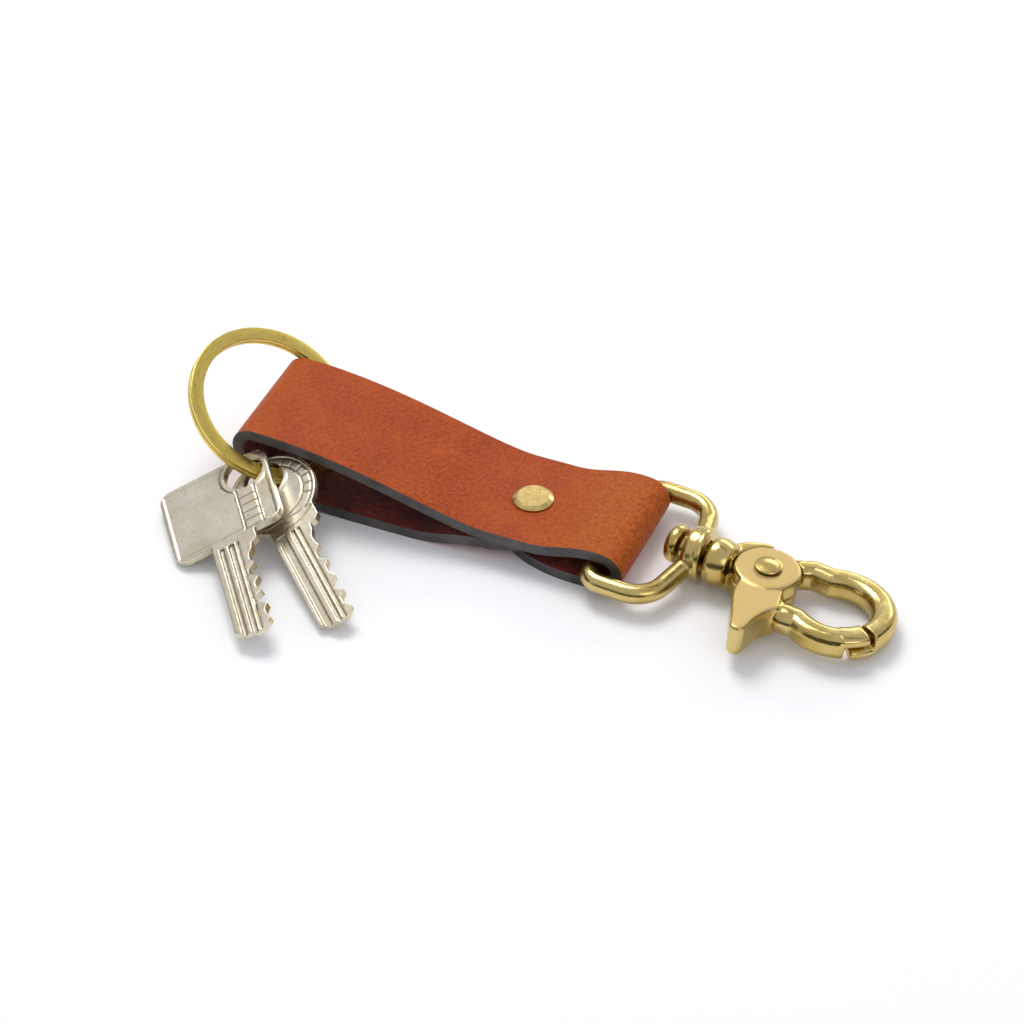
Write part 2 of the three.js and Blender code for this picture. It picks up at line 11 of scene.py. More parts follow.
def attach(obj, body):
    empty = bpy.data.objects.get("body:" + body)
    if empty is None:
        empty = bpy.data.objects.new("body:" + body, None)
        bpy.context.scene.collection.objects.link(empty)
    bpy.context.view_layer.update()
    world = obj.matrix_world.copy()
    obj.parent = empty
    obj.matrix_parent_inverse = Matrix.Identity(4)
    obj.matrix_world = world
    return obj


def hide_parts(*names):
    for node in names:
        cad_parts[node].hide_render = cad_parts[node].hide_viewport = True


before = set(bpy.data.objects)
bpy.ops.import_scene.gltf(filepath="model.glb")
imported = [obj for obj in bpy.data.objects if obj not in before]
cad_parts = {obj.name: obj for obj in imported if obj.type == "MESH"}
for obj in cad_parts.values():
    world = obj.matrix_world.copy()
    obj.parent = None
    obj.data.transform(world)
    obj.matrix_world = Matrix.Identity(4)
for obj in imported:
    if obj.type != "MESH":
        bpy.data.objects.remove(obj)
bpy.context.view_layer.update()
bpy.ops.object.select_all(action="DESELECT")


# ---- Leather strap ----
# One length of vegetable-tanned cowhide, cut with rounded ends and folded so that three layers
# meet at the rivet. Grain side out, flesh side in, edges sanded round and painted dark grey.

mm = 0.001
strap_width = 25 * mm
leather = 2.2 * mm
tongue = 20 * mm
strap_offset = Vector((-1.4844 * mm, 18.5664 * mm))
rivet_place = -0.9 * mm
bar_radius = 2.3 * mm
fold_centre = 18 * mm
nose_radius = 3.25 * mm
nose_height = 11.4 * mm
nose_centre = rivet_place - 53.5 * mm
tongue_tip = rivet_place - 6.1 * mm
clamped = 4.2 * mm
layer = [(1.1 + 2.32 * n) * mm for n in range(3)]
strap_floor = layer[0] + 0.03 * mm
run_steps = 400
tongue_steps = 26
middle_steps = 210
tight_bend = 4.5 * mm
clip_middle = 15 * mm
clip_reach = 9 * mm


def straight(a, b):
    """Points on a straight run of the strap's middle line."""
    shares = [i / run_steps for i in range(run_steps)]
    return [(a[0] + (b[0] - a[0]) * t, a[1] + (b[1] - a[1]) * t) for t in shares]


def bent(a, b, c, d):
    """Points on a free bend with these four Bezier points."""
    line = []
    for i in range(run_steps):
        t = i / run_steps
        w = ((1 - t) ** 3, 3 * t * (1 - t) ** 2, 3 * t * t * (1 - t), t**3)
        line.append(tuple(sum(k * p[n] for k, p in zip(w, (a, b, c, d))) for n in (0, 1)))
    return line


def arc(centre, radius, start, end):
    """Points on a round turn, its angles in degrees."""
    angles = [math.radians(start + (end - start) * i / run_steps) for i in range(run_steps)]
    return [(centre[0] + radius * math.cos(a), centre[1] + radius * math.sin(a)) for a in angles]


fold = bar_radius + leather / 2
fold_top = layer[0] + 2 * fold
nose_top = nose_height + nose_radius
nose_turn = math.radians(20)
nose_end = (
    nose_centre - nose_radius * math.cos(nose_turn),
    nose_height - nose_radius * math.sin(nose_turn),
)
strap_line = (
    straight((tongue_tip, layer[0]), (fold_centre, layer[0]))
    + arc((fold_centre, layer[0] + fold), fold, -90, 90)
    + bent(
        (fold_centre, fold_top),
        (fold_centre - 5.5 * mm, fold_top + 0.7 * mm),
        (rivet_place + 9.5 * mm, layer[2]),
        (rivet_place + clamped, layer[2]),
    )
    + straight((rivet_place + clamped, layer[2]), (rivet_place - clamped, layer[2]))
    + bent(
        (rivet_place - clamped, layer[2]),
        (rivet_place - clamped - 10 * mm, layer[2] + 0.15 * mm),
        (nose_centre + 21.4 * mm, nose_top - 0.35 * mm),
        (nose_centre, nose_top),
    )
    + arc((nose_centre, nose_height), nose_radius, 90, 200)
    + bent(
        nose_end,
        (
            nose_end[0] + 4.4 * mm * math.sin(nose_turn),
            nose_end[1] - 5.2 * mm * math.cos(nose_turn),
        ),
        (nose_centre + 2 * mm, strap_floor + 1.1 * mm),
        (nose_centre + 9 * mm, strap_floor + 0.55 * mm),
    )
    + bent(
        (nose_centre + 9 * mm, strap_floor + 0.55 * mm),
        (nose_centre + 14 * mm, strap_floor + 0.16 * mm),
        (nose_centre + 19 * mm, strap_floor),
        (nose_centre + 25 * mm, strap_floor),
    )
    + straight((nose_centre + 25 * mm, strap_floor), (tongue_tip - 15 * mm, strap_floor))
    + bent(
        (tongue_tip - 15 * mm, strap_floor),
        (tongue_tip - 8 * mm, strap_floor),
        (tongue_tip - 5 * mm, layer[1]),
        (tongue_tip - 0.4 * mm, layer[1]),
    )
    + straight((tongue_tip - 0.4 * mm, layer[1]), (rivet_place + 10.4 * mm, layer[1]))
    + [(rivet_place + 10.4 * mm, layer[1])]
)
line = np.array(strap_line)
travel = np.concatenate([[0], np.cumsum(np.hypot(*np.diff(line, axis=0).T))])
strap_length = travel[-1]
rounded = [tongue * (1 - math.cos(math.pi / 2 * i / tongue_steps)) for i in range(tongue_steps)]
stations = np.array(
    rounded
    + [tongue + (strap_length - 2 * tongue) * i / middle_steps for i in range(middle_steps + 1)]
    + [strap_length - s for s in reversed(rounded)]
)
across = 14
bpy.ops.mesh.primitive_grid_add(x_subdivisions=len(stations) - 1, y_subdivisions=across, size=1)
strap = bpy.context.object
strap.name = "strap_leather"
at_x = np.interp(stations, travel, line[:, 0])
at_z = np.interp(stations, travel, line[:, 1])
ahead = np.gradient(at_x, stations), np.gradient(at_z, stations)
turn = np.abs(np.gradient(np.unwrap(np.arctan2(ahead[1], ahead[0])), stations))
turn = np.convolve(turn, np.ones(9) / 9, "same") * tight_bend
fold_mark = strap.data.attributes.new("fold", "FLOAT", "POINT")
clip_mark = strap.data.attributes.new("clip_end", "FLOAT", "POINT")
texture_map = strap.data.uv_layers[0]
along_of = {}
for vertex in strap.data.vertices:
    n = round((vertex.co.x + 0.5) * (len(stations) - 1))
    share = vertex.co.y * 2
    from_end = min(stations[n], strap_length - stations[n])
    half = strap_width / 2 * math.sqrt(max(0.0006, 1 - max(0, 1 - from_end / tongue) ** 2))
    half = max(0.9 * mm, half)
    along_of[vertex.index] = (stations[n], share * half)
    fold_mark.data[vertex.index].value = min(1, turn[n])
    near_clip = math.exp(-(((at_x[n] - clip_middle) / clip_reach) ** 2))
    clip_mark.data[vertex.index].value = near_clip if at_z[n] > 5 * mm else 0
    vertex.co = (at_x[n] + strap_offset.x, share * half + strap_offset.y, at_z[n])
for loop in strap.data.loops:
    texture_map.data[loop.index].uv = Vector(along_of[loop.vertex_index]) / (10 * mm)
solid = strap.modifiers.new("thickness", "SOLIDIFY")
solid.thickness = leather
solid.offset = 0
solid.use_even_offset = False
solid.material_offset = 1
solid.material_offset_rim = 2
rounding = strap.modifiers.new("sanded edges", "BEVEL")
rounding.width = 0.42 * mm
rounding.segments = 3
rounding.angle_limit = math.radians(50)
rounding.material = 2


def linear(code):
    """An sRGB hex colour as the linear colour that a shader takes."""
    parts = [int(code[i : i + 2], 16) / 255 for i in (0, 2, 4)]
    return [c / 12.92 if c < 0.04045 else ((c + 0.055) / 1.055) ** 2.4 for c in parts] + [1]


def begin(name):
    """An empty material and its node tree."""
    made = bpy.data.materials.new(name)
    made.use_nodes = True
    made.node_tree.nodes.clear()
    return made, made.node_tree


def add(tree, kind, inputs=None, stops=(), **settings):
    """Adds one node. Inputs are values or sockets, and stops are (place, hex colour) pairs."""
    made = tree.nodes.new("ShaderNode" + kind)
    for n, (place, code) in enumerate(stops):
        element = made.color_ramp.elements[n] if n < 2 else made.color_ramp.elements.new(1)
        element.position = place
        element.color = linear(code)
    for name, value in settings.items():
        setattr(made, name, value)
    for name, value in (inputs or {}).items():
        if isinstance(value, bpy.types.NodeSocket):
            tree.links.new(value, made.inputs[name])
        else:
            made.inputs[name].default_value = value
    return made


# Aniline-dyed cowhide, grain side: a warm tan that pulls lighter where it bends, with pores about
# 0.9 mm apart and a pebble about 0.6 mm across under a soft wax. The map counts centimetres.
grain, tree = begin("tan_cowhide_grain")
uv = add(tree, "UVMap", uv_map=texture_map.name).outputs["UV"]
clouds = add(tree, "TexNoise", {"Vector": uv, "Scale": 1.1, "Detail": 5.0, "Roughness": 0.6})
fine = add(tree, "TexNoise", {"Vector": uv, "Scale": 9.0, "Detail": 6.0, "Roughness": 0.65})
pebble = add(tree, "TexVoronoi", {"Vector": uv, "Scale": 17.0, "Randomness": 1.0})
pores = add(tree, "TexVoronoi", {"Vector": uv, "Scale": 11.0, "Randomness": 1.0})
base = add(
    tree,
    "ValToRGB",
    {"Fac": clouds.outputs["Fac"]},
    stops=((0.28, "A44008"), (0.5, "B24A0A"), (0.74, "C05710")),
).outputs["Color"]
clip = add(tree, "Attribute", attribute_name="clip_end").outputs["Fac"]
bend = add(tree, "Attribute", attribute_name="fold").outputs["Fac"]
mottle = add(
    tree,
    "ValToRGB",
    {"Fac": fine.outputs["Fac"]},
    stops=((0.36, "8A3204"), (0.55, "B8500C"), (0.72, "CC6A1C")),
).outputs["Color"]
tone = add(tree, "MixRGB", {"Fac": 0.28, "Color1": base, "Color2": mottle}).outputs["Color"]
clip_share = add(tree, "Math", {0: clip, 1: 0.62}, operation="MULTIPLY").outputs["Value"]
golden = add(
    tree,
    "ValToRGB",
    {"Fac": fine.outputs["Fac"]},
    stops=((0.34, "A64E04"), (0.6, "C4680A"), (0.8, "D88A28")),
).outputs["Color"]
tone = add(tree, "MixRGB", {"Fac": clip_share, "Color1": tone, "Color2": golden}).outputs["Color"]
bend_share = add(tree, "Math", {0: bend, 1: 0.22}, operation="MULTIPLY").outputs["Value"]
tone = add(
    tree, "MixRGB", {"Fac": bend_share, "Color1": tone, "Color2": linear("C46A24")}
).outputs["Color"]
pore_dark = add(
    tree, "ValToRGB", {"Fac": pores.outputs["Distance"]}, stops=((0.02, "6E2A12"), (0.12, "FFFFFF"))
).outputs["Color"]
pore_share = add(
    tree,
    "MapRange",
    {
        "Value": clip,
        "From Min": 0.0,
        "From Max": 1.0,
        "To Min": 0.1,
        "To Max": 0.7,
    },
).outputs["Result"]
tone = add(
    tree,
    "MixRGB",
    {"Fac": pore_share, "Color1": tone, "Color2": pore_dark},
    blend_type="MULTIPLY",
).outputs["Color"]
creases = add(
    tree, "ValToRGB", {"Fac": pebble.outputs["Distance"]}, stops=((0.1, "FFFFFF"), (0.75, "D6C6B6"))
).outputs["Color"]
tone = add(
    tree, "MixRGB", {"Fac": 0.8, "Color1": tone, "Color2": creases}, blend_type="MULTIPLY"
).outputs["Color"]
relief = add(
    tree, "Math", {0: fine.outputs["Fac"], 1: pebble.outputs["Distance"]}, operation="SUBTRACT"
).outputs["Value"]
bump = add(tree, "Bump", {"Height": relief, "Strength": 0.7, "Distance": 0.22 * mm})
wax = add(
    tree,
    "MapRange",
    {"Value": fine.outputs["Fac"], "From Min": 0.3, "From Max": 0.7, "To Min": 0.4, "To Max": 0.56},
).outputs["Result"]
shader = add(
    tree,
    "BsdfPrincipled",
    {
        "Base Color": tone,
        "Roughness": wax,
        "Normal": bump.outputs["Normal"],
        "IOR": 1.46,
        "Specular IOR Level": 0.2,
    },
)
add(tree, "OutputMaterial", {"Surface": shader.outputs["BSDF"]})

# The flesh side: dyed through, darker and redder, fibrous, with loose nap that scatters light.
flesh, tree = begin("tan_cowhide_flesh")
uv = add(tree, "UVMap", uv_map=texture_map.name).outputs["UV"]
stretch = add(tree, "Mapping", {"Vector": uv, "Scale": (0.7, 2.2, 1.0)}).outputs["Vector"]
fibre = add(tree, "TexNoise", {"Vector": stretch, "Scale": 8.0, "Detail": 8.0, "Roughness": 0.7})
patch = add(tree, "TexNoise", {"Vector": uv, "Scale": 1.6, "Detail": 4.0})
tone = add(
    tree,
    "ValToRGB",
    {"Fac": fibre.outputs["Fac"]},
    stops=((0.3, "4A1410"), (0.5, "722419"), (0.66, "964422"), (0.8, "B05C30")),
).outputs["Color"]
patchy = add(
    tree, "ValToRGB", {"Fac": patch.outputs["Fac"]}, stops=((0.35, "9A8F8C"), (0.65, "FFFFFF"))
).outputs["Color"]
tone = add(
    tree, "MixRGB", {"Fac": 0.8, "Color1": tone, "Color2": patchy}, blend_type="MULTIPLY"
).outputs["Color"]
bump = add(
    tree, "Bump", {"Height": fibre.outputs["Fac"], "Strength": 0.8, "Distance": 0.25 * mm}
)
shader = add(
    tree,
    "BsdfPrincipled",
    {
        "Base Color": tone,
        "Roughness": 0.85,
        "Normal": bump.outputs["Normal"],
        "Sheen Weight": 0.12,
        "Specular IOR Level": 0.25,
    },
)
add(tree, "OutputMaterial", {"Surface": shader.outputs["BSDF"]})

# Edge paint: rolled on in two coats, satin dark grey, slightly uneven over the cut fibres.
edge_paint, tree = begin("dark_grey_edge_paint")
place = add(tree, "TexCoord").outputs["Object"]
uneven = add(tree, "TexNoise", {"Vector": place, "Scale": 1.6 / mm, "Detail": 4.0})
broad = add(tree, "TexNoise", {"Vector": place, "Scale": 0.24 / mm, "Detail": 3.0})
tone = add(
    tree, "ValToRGB", {"Fac": broad.outputs["Fac"]}, stops=((0.35, "373331"), (0.65, "4F4B49"))
).outputs["Color"]
bump = add(
    tree, "Bump", {"Height": uneven.outputs["Fac"], "Strength": 0.35, "Distance": 0.12 * mm}
)
shader = add(
    tree,
    "BsdfPrincipled",
    {"Base Color": tone, "Roughness": 0.46, "Normal": bump.outputs["Normal"], "IOR": 1.5},
)
add(tree, "OutputMaterial", {"Surface": shader.outputs["BSDF"]})
for material in (flesh, grain, edge_paint):
    strap.data.materials.append(material)
bpy.context.view_layer.objects.active = strap
for modifier in ("thickness", "sanded edges"):
    bpy.ops.object.modifier_apply(modifier=modifier)
bpy.ops.object.shade_smooth_by_angle(angle=math.radians(50))
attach(strap, "strap")
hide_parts("leather_strap")


# ---- Rivet ----
# A double-cap rivet pressed from brass strip: the cap's flat top is spun and its rim chamfered
# and polished. The post's head is let into the underside.

rivet_axis = (rivet_place + strap_offset.x, strap_offset.y)
cap_low = layer[2] + leather / 2 + 0.1 * mm
bpy.ops.mesh.primitive_cylinder_add(
    vertices=96, radius=3.9 * mm, depth=0.1 * mm, location=(*rivet_axis, cap_low + 0.05 * mm)
)
cap = bpy.context.object
cap.name = "rivet_cap_brass"


def grow(piece, steps, top=True):
    """Builds up a turned piece from its end face: each step is (rise, radius ratio) in mm."""
    bpy.context.view_layer.objects.active = piece
    bpy.ops.object.mode_set(mode="EDIT")
    bpy.ops.mesh.select_mode(type="FACE")
    bpy.ops.mesh.select_all(action="DESELECT")
    bpy.ops.object.mode_set(mode="OBJECT")
    ends = sorted(piece.data.polygons, key=lambda f: f.center.z)
    ends[-1 if top else 0].select = True
    bpy.ops.object.mode_set(mode="EDIT")
    for rise, ratio in steps:
        bpy.ops.mesh.extrude_region_move(TRANSFORM_OT_translate={"value": (0, 0, rise * mm)})
        bpy.ops.transform.resize(value=(ratio, ratio, 1))
    bpy.ops.object.mode_set(mode="OBJECT")


def settle(piece):
    """Puts a finished piece's place into its mesh."""
    bpy.ops.object.select_all(action="DESELECT")
    piece.select_set(True)
    bpy.context.view_layer.objects.active = piece
    bpy.ops.object.transform_apply(location=True, rotation=True, scale=True)
    bpy.ops.object.select_all(action="DESELECT")


grow(cap, [(0.06, 1.026), (0.1, 1.0), (0.1, 0.97), (0.36, 0.83), (0.06, 0.965), (0.0, 0.93)])
grow(cap, [(-0.015, 0.5), (-0.005, 0.2)])
bpy.ops.object.shade_smooth_by_angle(angle=math.radians(28))
settle(cap)

# Spun brass: fine turned rings on the flat, clear polish on the chamfer.
spun, tree = begin("spun_brass")
place = add(tree, "TexCoord").outputs["Object"]
centred = add(
    tree, "Mapping", {"Vector": place, "Location": (-rivet_axis[0], -rivet_axis[1], 0)}
).outputs["Vector"]
rings = add(
    tree,
    "TexWave",
    {"Vector": centred, "Scale": 1.4 / mm, "Distortion": 0.6, "Detail": 2.0},
    wave_type="RINGS",
    rings_direction="Z",
)
scratch = add(tree, "TexNoise", {"Vector": centred, "Scale": 0.9 / mm, "Detail": 6.0})
tone = add(
    tree, "ValToRGB", {"Fac": scratch.outputs["Fac"]}, stops=((0.3, "C9AA62"), (0.7, "E2C887"))
).outputs["Color"]
rough = add(
    tree,
    "MapRange",
    {
        "Value": rings.outputs["Fac"],
        "From Min": 0.0,
        "From Max": 1.0,
        "To Min": 0.22,
        "To Max": 0.28,
    },
).outputs["Result"]
bump = add(
    tree, "Bump", {"Height": rings.outputs["Fac"], "Strength": 0.06, "Distance": 0.02 * mm}
)
shader = add(
    tree,
    "BsdfPrincipled",
    {"Base Color": tone, "Metallic": 1.0, "Roughness": rough, "Normal": bump.outputs["Normal"]},
)
add(tree, "OutputMaterial", {"Surface": shader.outputs["BSDF"]})
cap.data.materials.append(spun)
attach(cap, "strap")
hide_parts("rivet_cap")

bpy.ops.mesh.primitive_cylinder_add(
    vertices=64, radius=3.98 * mm, depth=0.5 * mm, location=(*rivet_axis, 0.52 * mm)
)
post = bpy.context.object
post.name = "rivet_post_brass"
grow(post, [(0.0, 0.325), (6.1, 1.0)])
grow(post, [(-0.15, 0.99), (-0.1, 0.93), (-0.02, 0.6)], top=False)
bpy.ops.object.shade_smooth_by_angle(angle=math.radians(28))
settle(post)
post.data.materials.append(spun)
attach(post, "strap")
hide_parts("rivet_post")


# ---- Swivel loop ----
# A bar-and-boss loop sand-cast in yellow brass, then tumbled bright: soft edges, a slightly wavy
# skin and a thick upright eye that the hook's stud turns in.

# The hook's own frame: its pivot, with X out along the eye and Z up through the pin.
hook_place = Matrix.Translation((46.3367 * mm, 15.4931 * mm, 4.8161 * mm)) @ Euler(
    (math.radians(-5), math.radians(3.5), math.radians(-8))
).to_matrix().to_4x4()


def cast(node, name, body, cell, passes, wear=0.02, swells=()):
    """A casting's soft skin over a CAD solid, its corners tumbled round.

    The cell of its skin and its wear are in mm. Swells are (centre, radii) in mm in the hook's
    frame: rounded fillings where an arm leaves the casting.
    """
    piece = bpy.data.objects.new(name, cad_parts[node].data.copy())
    bpy.context.scene.collection.objects.link(piece)
    piece.data.materials.clear()
    bpy.ops.object.select_all(action="DESELECT")
    piece.select_set(True)
    bpy.context.view_layer.objects.active = piece
    for centre, radii in swells:
        bpy.ops.mesh.primitive_uv_sphere_add(segments=40, ring_count=20, radius=mm)
        swell = bpy.context.object
        swell.data.transform(Matrix.Diagonal((*radii, 1)))
        swell.data.transform(hook_place @ Matrix.Translation(Vector(centre) * mm))
        swell.select_set(True)
        piece.select_set(True)
        bpy.context.view_layer.objects.active = piece
        bpy.ops.object.join()
    weld = piece.modifiers.new("weld", "WELD")
    weld.merge_threshold = 0.002 * mm
    skin = piece.modifiers.new("skin", "REMESH")
    skin.mode = "VOXEL"
    skin.voxel_size = cell * mm
    tumble = piece.modifiers.new("tumble", "SMOOTH")
    tumble.factor = 0.5
    tumble.iterations = passes
    worn = piece.modifiers.new("worn", "DISPLACE")
    worn.mid_level = 0
    worn.strength = -wear * mm
    for modifier in ("weld", "skin", "tumble", "worn"):
        bpy.ops.object.modifier_apply(modifier=modifier)
    bpy.ops.object.shade_smooth()
    piece.select_set(False)
    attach(piece, body)
    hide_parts(node)
    return piece


loop = cast("swivel_loop", "swivel_loop_cast", "loop", 0.2, 20)

# Tumbled yellow brass: bright, with the broad waves and fine pits that casting leaves.
cast_brass, tree = begin("tumbled_cast_brass")
place = add(tree, "TexCoord").outputs["Object"]
waves = add(
    tree, "TexNoise", {"Vector": place, "Scale": 0.21 / mm, "Detail": 2.0, "Roughness": 0.4}
)
pits = add(tree, "TexNoise", {"Vector": place, "Scale": 2.6 / mm, "Detail": 5.0, "Roughness": 0.7})
# The darker colour in the hollows, found from the mesh's pointiness, is painted shade; the same
# mask also makes the hollows rougher.
hollow = add(tree, "NewGeometry").outputs["Pointiness"]
hollow_shade_mask = add(
    tree,
    "MapRange",
    {"Value": hollow, "From Min": 0.493, "From Max": 0.47, "To Min": 0.0, "To Max": 1.0},
).outputs["Result"]
tone = add(
    tree, "ValToRGB", {"Fac": waves.outputs["Fac"]}, stops=((0.35, "C6AC64"), (0.65, "D6C07E"))
).outputs["Color"]
tone = add(
    tree, "MixRGB", {"Fac": hollow_shade_mask, "Color1": tone, "Color2": linear("8A7038")}
).outputs["Color"]
rough = add(
    tree,
    "MapRange",
    {
        "Value": pits.outputs["Fac"],
        "From Min": 0.35,
        "From Max": 0.75,
        "To Min": 0.16,
        "To Max": 0.32,
    },
).outputs["Result"]
rough = add(tree, "Math", {0: hollow_shade_mask, 1: 0.3, 2: rough}, operation="MULTIPLY_ADD").outputs["Value"]
bump = add(
    tree, "Bump", {"Height": waves.outputs["Fac"], "Strength": 0.22, "Distance": 0.5 * mm}
).outputs["Normal"]
bump = add(
    tree,
    "Bump",
    {"Height": pits.outputs["Fac"], "Strength": 0.12, "Distance": 0.03 * mm, "Normal": bump},
)
shader = add(
    tree,
    "BsdfPrincipled",
    {"Base Color": tone, "Metallic": 1.0, "Roughness": rough, "Normal": bump.outputs["Normal"]},
)
add(tree, "OutputMaterial", {"Surface": shader.outputs["BSDF"]})
loop.data.materials.append(cast_brass)


# ---- Hook body ----
# The hook's main casting: a stud that turns in the loop's boss, a grooved collar, a low plate
# under the trigger and the eye's fixed arm with a half-height tongue at its end.

far_root = ((8.6, 7.5, 0), (3.9, 2.7, 2.8))
hook_body = cast("hook_body", "hook_body_cast", "hook", 0.2, 18, swells=[far_root])
hook_body.data.materials.append(cast_brass)


# ---- Trigger ----
# The sprung lever: a flat round disc ground satin, a thumb tab and the jaw that closes the eye.

jaw_root = ((8.3, -7.7, 0.1), (4.4, 3.0, 2.9))
trigger = cast(
    "trigger_lever", "trigger_lever_cast", "trigger", 0.2, 18, swells=[jaw_root]
)


def local_of(piece, place):
    """A piece's points and normals in the frame of a place, in millimetres."""
    count = len(piece.data.vertices)
    points = np.empty(count * 3)
    normals = np.empty(count * 3)
    piece.data.vertices.foreach_get("co", points)
    piece.data.vertices.foreach_get("normal", normals)
    turned = np.array(place.inverted())
    points = points.reshape(-1, 3) @ turned[:3, :3].T + turned[:3, 3]
    return points / mm, normals.reshape(-1, 3) @ turned[:3, :3].T


def write_mark(piece, name, values):
    """Keeps a number for each of a piece's points, for its material to read."""
    piece.data.attributes.new(name, "FLOAT", "POINT").data.foreach_set("value", values)


points, normals = local_of(trigger, hook_place)
flat = np.clip((normals[:, 2] - 0.9) / 0.08, 0, 1) * np.clip((points[:, 2] - 3.0) / 0.3, 0, 1)
write_mark(trigger, "ground_flat", flat)

# The same brass with its flat faces ground: satin there, bright round the edges.
ground_brass, tree = begin("ground_and_tumbled_brass")
place = add(tree, "TexCoord").outputs["Object"]
waves = add(
    tree, "TexNoise", {"Vector": place, "Scale": 0.21 / mm, "Detail": 2.0, "Roughness": 0.4}
)
pits = add(tree, "TexNoise", {"Vector": place, "Scale": 2.6 / mm, "Detail": 5.0, "Roughness": 0.7})
flat = add(tree, "Attribute", attribute_name="ground_flat").outputs["Fac"]
tone = add(
    tree, "ValToRGB", {"Fac": waves.outputs["Fac"]}, stops=((0.35, "C6AC64"), (0.65, "D6C07E"))
).outputs["Color"]
tone = add(
    tree, "MixRGB", {"Fac": flat, "Color1": tone, "Color2": linear("C2A86E")}
).outputs["Color"]
rough = add(
    tree,
    "MapRange",
    {
        "Value": pits.outputs["Fac"],
        "From Min": 0.35,
        "From Max": 0.75,
        "To Min": 0.16,
        "To Max": 0.3,
    },
).outputs["Result"]
rough = add(tree, "Math", {0: flat, 1: 0.22, 2: rough}, operation="MULTIPLY_ADD").outputs["Value"]
wavy = add(tree, "Math", {0: 1.0, 1: flat}, operation="SUBTRACT").outputs["Value"]
wavy = add(
    tree, "Math", {0: wavy, 1: waves.outputs["Fac"]}, operation="MULTIPLY"
).outputs["Value"]
bump = add(tree, "Bump", {"Height": wavy, "Strength": 0.22, "Distance": 0.5 * mm}).outputs[
    "Normal"
]
bump = add(
    tree,
    "Bump",
    {"Height": pits.outputs["Fac"], "Strength": 0.15, "Distance": 0.03 * mm, "Normal": bump},
)
shader = add(
    tree,
    "BsdfPrincipled",
    {"Base Color": tone, "Metallic": 1.0, "Roughness": rough, "Normal": bump.outputs["Normal"]},
)
add(tree, "OutputMaterial", {"Surface": shader.outputs["BSDF"]})
trigger.data.materials.append(ground_brass)


# ---- Pivot pin and spring ----
# A brass pin riveted over the trigger's disc: a low dome inside a thin rim. The steel spring lies
# hidden in the recess under the disc.

bpy.ops.mesh.primitive_cylinder_add(vertices=80, radius=1.5 * mm, depth=7.6 * mm)
pin = bpy.context.object
pin.name = "pivot_pin_brass"
grow(pin, [(0.0, 1.77), (0.22, 1.0), (0.1, 0.97), (0.06, 0.9), (-0.1, 0.93), (0.08, 0.82)])
grow(pin, [(0.1, 0.72), (0.05, 0.6), (0.02, 0.3)])
grow(pin, [(0.0, 1.77), (-0.3, 1.0), (-0.12, 0.9)], top=False)
bpy.ops.object.shade_smooth_by_angle(angle=math.radians(35))
pin.data.transform(hook_place @ Matrix.Translation((0, 0, 0.1 * mm)))
pin.data.materials.append(cast_brass)
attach(pin, "hook")
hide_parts("pivot_pin")

# Drawn steel wire: grey, with fine lines from the die.
spring_steel, tree = begin("drawn_spring_steel")
place = add(tree, "TexCoord").outputs["Object"]
lines = add(tree, "TexNoise", {"Vector": place, "Scale": 3 / mm, "Detail": 4.0})
tone = add(
    tree, "ValToRGB", {"Fac": lines.outputs["Fac"]}, stops=((0.3, "77797C"), (0.7, "A3A5A8"))
).outputs["Color"]
bump = add(tree, "Bump", {"Height": lines.outputs["Fac"], "Strength": 0.2, "Distance": 0.02 * mm})
shader = add(
    tree,
    "BsdfPrincipled",
    {"Base Color": tone, "Metallic": 1.0, "Roughness": 0.38, "Normal": bump.outputs["Normal"]},
)
add(tree, "OutputMaterial", {"Surface": shader.outputs["BSDF"]})
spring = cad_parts["trigger_spring"]
spring.data.materials.clear()
spring.data.materials.append(spring_steel)


# ---- Split ring ----
# Flat brass wire rolled about 2.7 by 1 mm and wound twice, each turn lying on the other, then
# brushed along its length so that fine lines follow the ring.

wire_circle = 15.5 * mm
wire_width = 2.66 * mm
coil = 1.0 * mm
coil_gap = 0.12 * mm
ramp_angle = 0.42
end_gap = 0.06
# The ring's own frame, with Z along its axis: it leans about 58 degrees in the strap's turn.
ring_axes = Matrix(
    (
        (0.48538, -0.70431, 0.51803, -0.0578629),
        (0.85862, 0.49572, -0.13053, 0.0179464),
        (-0.16487, 0.50814, 0.84535, 0.0128849),
        (0, 0, 0, 1),
    )
)
turns = 4 * math.pi - ramp_angle - end_gap
ring_steps = 380
corner = 0.2 * mm
half_wide, half_high = wire_width / 2, coil / 2
wire_section = []
for x, z, start in ((1, 1, 90), (-1, 1, 180), (-1, -1, 270), (1, -1, 0)):
    for i in range(4):
        a = math.radians(start - 30 * i)
        wire_section.append(
            (
                x * (half_wide - corner) + corner * math.cos(a),
                z * (half_high - corner) + corner * math.sin(a),
            )
        )
middle_of = np.array(wire_section)
order = np.argsort(np.arctan2(middle_of[:, 1] * 2, middle_of[:, 0]))
wire_section = [wire_section[i] for i in order]
bpy.ops.mesh.primitive_cylinder_add(vertices=len(wire_section), radius=1, depth=1)
ring = bpy.context.object
ring.name = "split_ring_wire"
bpy.ops.object.mode_set(mode="EDIT")
bpy.ops.mesh.select_all(action="DESELECT")
bpy.ops.object.mode_set(mode="OBJECT")
top_cap = max(ring.data.polygons, key=lambda f: f.center.z)
top_cap.select = True
bpy.ops.object.mode_set(mode="EDIT")
bpy.ops.mesh.select_mode(type="FACE")
for i in range(ring_steps - 1):
    bpy.ops.mesh.extrude_region_move(TRANSFORM_OT_translate={"value": (0, 0, 1)})
bpy.ops.object.mode_set(mode="OBJECT")
rounds = sorted({round(v.co.z, 2) for v in ring.data.vertices})
level = {z: i for i, z in enumerate(rounds)}
wire_map = ring.data.uv_layers[0]
along_of = {}
